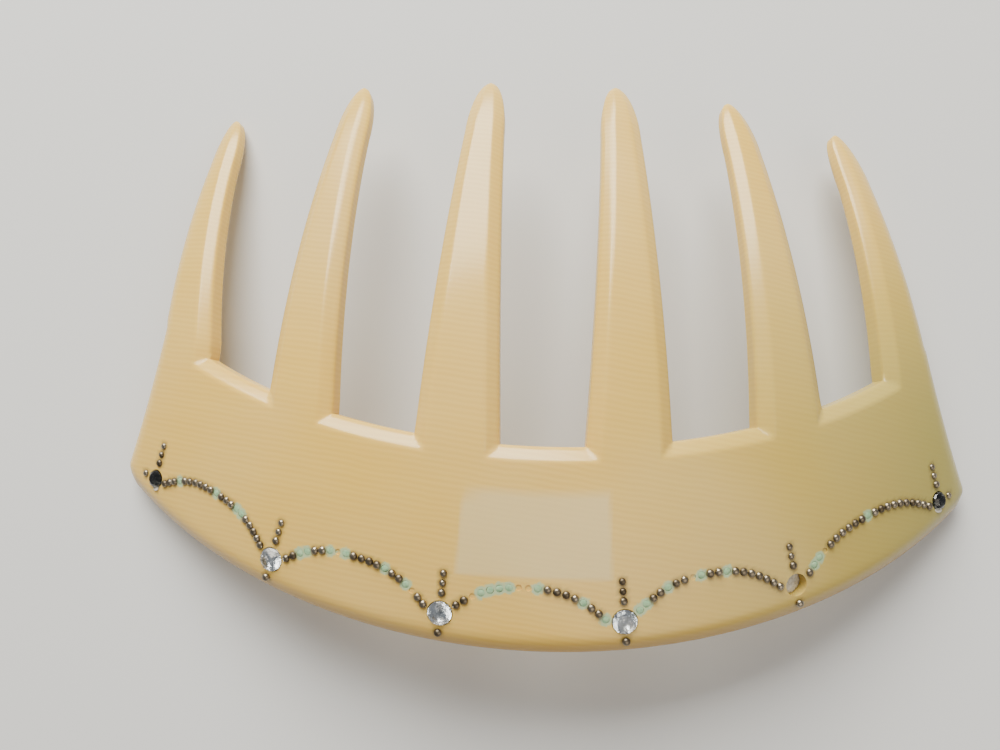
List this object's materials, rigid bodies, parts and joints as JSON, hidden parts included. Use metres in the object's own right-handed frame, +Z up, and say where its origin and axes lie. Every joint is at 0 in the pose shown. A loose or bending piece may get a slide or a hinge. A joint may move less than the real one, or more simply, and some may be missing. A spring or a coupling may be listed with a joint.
{
  "type": "decorative hair comb",
  "caption": "Curved ivory-coloured hair comb with tapering teeth, its crown set with round paste stones and swags of small steel pins.",
  "frame": {"origin": "middle of the rectangle that the comb covers, on the surface that it lies on", "axes": "+X along the crown to the wearer's side, +Y from the crown towards the tooth tips, +Z up out of the decorated side"},
  "size_m": [0.093, 0.0604, 0.0168],
  "materials": {
    "celluloid": "polished ivory-grained celluloid",
    "paste": "faceted lead glass",
    "foil": "pressed tin foil",
    "steel": "darkened steel pins with bright worn heads"
  },
  "bodies": {
    "root": {"comb_body": "celluloid", "paste_stone_1": "paste", "foil_cup_1": "foil", "pin_1_stem_1": "steel", "pin_1_stem_2": "steel", "pin_1_stem_3": "steel", "pin_1_side": "steel", "paste_stone_2": "paste", "foil_cup_2": "foil", "pin_2_stem_1": "steel", "pin_2_stem_2": "steel", "pin_2_stem_3": "steel", "pin_2_drop": "steel", "paste_stone_3": "paste", "foil_cup_3": "foil", "pin_3_stem_1": "steel", "pin_3_stem_2": "steel", "pin_3_stem_3": "steel", "pin_3_drop": "steel", "paste_stone_4": "paste", "foil_cup_4": "foil", "pin_4_stem_1": "steel", "pin_4_stem_2": "steel", "pin_4_stem_3": "steel", "pin_4_drop": "steel", "foil_cup_5": "foil", "pin_5_stem_1": "steel", "pin_5_stem_2": "steel", "pin_5_stem_3": "steel", "pin_5_drop": "steel", "paste_stone_6": "paste", "foil_cup_6": "foil", "pin_6_stem_1": "steel", "pin_6_stem_2": "steel", "pin_6_stem_3": "steel", "pin_6_side": "steel", "pin_run_1_1": "steel", "pin_run_1_2": "steel", "pin_run_1_3": "steel", "pin_run_1_4": "steel", "pin_run_2_1": "steel", "pin_run_2_2": "steel", "pin_run_2_3": "steel", "pin_run_2_4": "steel", "pin_run_2_5": "steel", "pin_run_3_1": "steel", "pin_run_3_2": "steel", "pin_run_3_3": "steel", "pin_run_4_1": "steel", "pin_run_4_2": "steel", "pin_run_4_3": "steel", "pin_run_4_4": "steel", "pin_run_5_1": "steel", "pin_run_5_2": "steel", "pin_run_5_3": "steel"}
  },
  "joints": []
}
